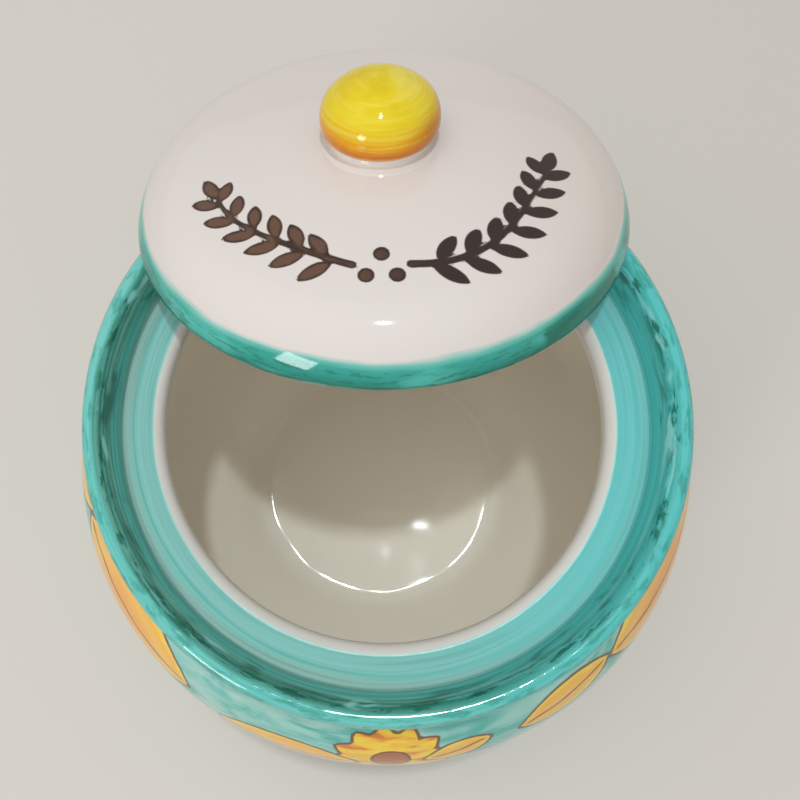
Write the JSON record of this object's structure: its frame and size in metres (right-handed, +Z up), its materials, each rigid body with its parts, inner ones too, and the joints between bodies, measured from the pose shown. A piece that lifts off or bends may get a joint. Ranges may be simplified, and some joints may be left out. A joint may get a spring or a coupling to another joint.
{
  "type": "biscuit jar",
  "caption": "Round-bellied glazed biscuit jar with a sunk gallery, a domed drop-in lid propped on its lip, and a bun-shaped knob on the lid.",
  "frame": {"origin": "centre of the flat base that the jar stands on", "axes": "+Z up along the jar's own axis, +Y to the rear where the propped lid leans, +X to the right seen from the front"},
  "size_m": [0.219, 0.2473, 0.2068],
  "materials": {
    "painted_body_glaze": "glossy tin glaze over brushed turquoise bands and orange and yellow leaf painting, cream inside, bare fired clay on the base",
    "white_lid_glaze": "glossy white tin glaze with a brushed turquoise edge and dark brown sprigs",
    "yellow_knob_glaze": "glossy yellow glaze over an orange underside and a white foot"
  },
  "bodies": {
    "jar": {"jar_body": "painted_body_glaze"},
    "lid": {"lid": "white_lid_glaze", "lid_knob": "yellow_knob_glaze"}
  },
  "joints": [
    {"name": "lid_lift", "type": "slide", "parent": "jar", "child": "lid", "axis": [0, 0, 1], "range_m": [0, 0.15]}
  ]
}
